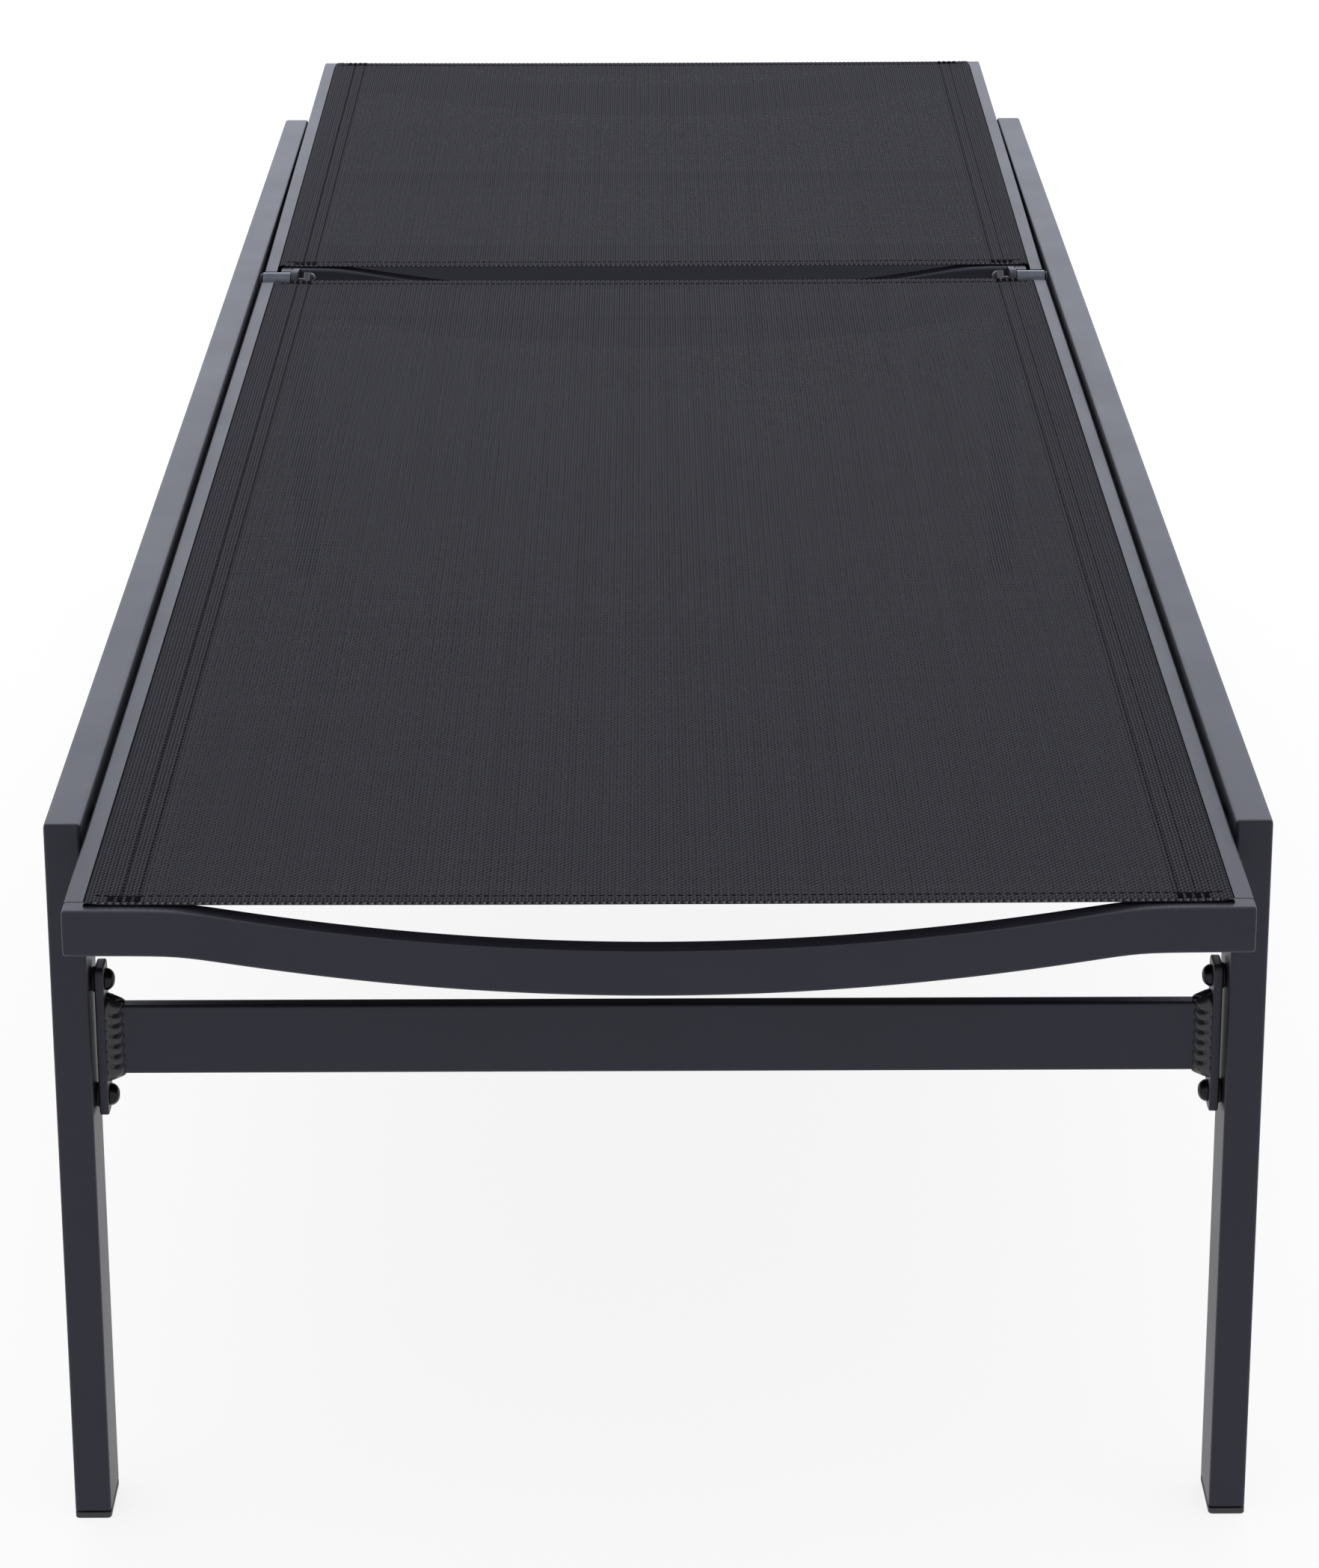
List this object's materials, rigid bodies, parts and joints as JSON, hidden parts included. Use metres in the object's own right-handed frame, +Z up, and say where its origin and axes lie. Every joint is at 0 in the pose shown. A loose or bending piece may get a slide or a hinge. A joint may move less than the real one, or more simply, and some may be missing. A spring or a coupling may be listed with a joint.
{
  "type": "reclining sun lounger",
  "caption": "Flat reclining sun lounger: tube frame with four legs, bowed crossbars, two stretched mesh slings and a backrest raised by a prop on notched racks.",
  "frame": {"origin": "centre of the footprint of the whole lounger, on the floor", "axes": "+X to the right seen from the foot end, +Y from the foot end to the head end, +Z up"},
  "size_m": [0.65, 1.9458, 0.4269],
  "materials": {
    "powder_coat": "satin anthracite powder coat on aluminium tube",
    "sling_mesh": "woven PVC-coated polyester mesh, black",
    "black_plastic": "moulded black plastic",
    "black_steel": "black oxide steel fasteners"
  },
  "bodies": {
    "frame": {"bolt_front_left_lower": "black_steel", "bolt_front_left_upper": "black_steel", "bolt_front_right_lower": "black_steel", "bolt_front_right_upper": "black_steel", "bolt_rear_left_lower": "black_steel", "bolt_rear_left_upper": "black_steel", "bolt_rear_right_lower": "black_steel", "bolt_rear_right_upper": "black_steel", "end_plate_front_left": "powder_coat", "end_plate_front_right": "powder_coat", "end_plate_rear_left": "powder_coat", "end_plate_rear_right": "powder_coat", "foot_cap_front_left": "black_plastic", "foot_cap_front_right": "black_plastic", "foot_cap_rear_left": "black_plastic", "foot_cap_rear_right": "black_plastic", "leg_front_left": "powder_coat", "leg_front_right": "powder_coat", "leg_rear_left": "powder_coat", "leg_rear_right": "powder_coat", "pivot_bolt_left": "black_steel", "pivot_bolt_right": "black_steel", "pivot_insert_left": "black_steel", "pivot_insert_right": "black_steel", "rack_left": "powder_coat", "rack_right": "powder_coat", "seat_bolt_left": "black_steel", "seat_bolt_right": "black_steel", "seat_front_bar": "powder_coat", "seat_lug_left": "powder_coat", "seat_lug_right": "powder_coat", "seat_rear_bar": "powder_coat", "seat_side_tube_left": "powder_coat", "seat_side_tube_right": "powder_coat", "seat_sling": "sling_mesh", "side_rail_left": "powder_coat", "side_rail_right": "powder_coat", "stretcher_front": "powder_coat", "stretcher_rear": "powder_coat", "washer_front_left_lower": "black_plastic", "washer_front_left_upper": "black_plastic", "washer_front_right_lower": "black_plastic", "washer_front_right_upper": "black_plastic", "washer_rear_left_lower": "black_plastic", "washer_rear_left_upper": "black_plastic", "washer_rear_right_lower": "black_plastic", "washer_rear_right_upper": "black_plastic"},
    "backrest": {"backrest_head_bar": "powder_coat", "backrest_lower_bar": "powder_coat", "backrest_lug_left": "powder_coat", "backrest_lug_right": "powder_coat", "backrest_side_tube_left": "powder_coat", "backrest_side_tube_right": "powder_coat", "backrest_sling": "sling_mesh", "pivot_sleeve_left": "black_steel", "pivot_sleeve_right": "black_steel", "prop_rivet_left": "black_steel", "prop_rivet_right": "black_steel"},
    "prop": {"prop": "powder_coat"}
  },
  "joints": [
    {"name": "backrest_recline", "type": "hinge", "parent": "frame", "child": "backrest", "pos_m": [0, 0.2655, 0.404], "axis": [1, 0, 0], "range_deg": [0, 64]},
    {"name": "prop_swing", "type": "hinge", "parent": "backrest", "child": "prop", "pos_m": [0, 0.4857, 0.39749], "axis": [1, 0, 0], "range_deg": [-117, 0]}
  ],
  "couplings": [
    {"joint": "prop_swing", "follows": "backrest_recline", "ratio": -1.8197}
  ]
}
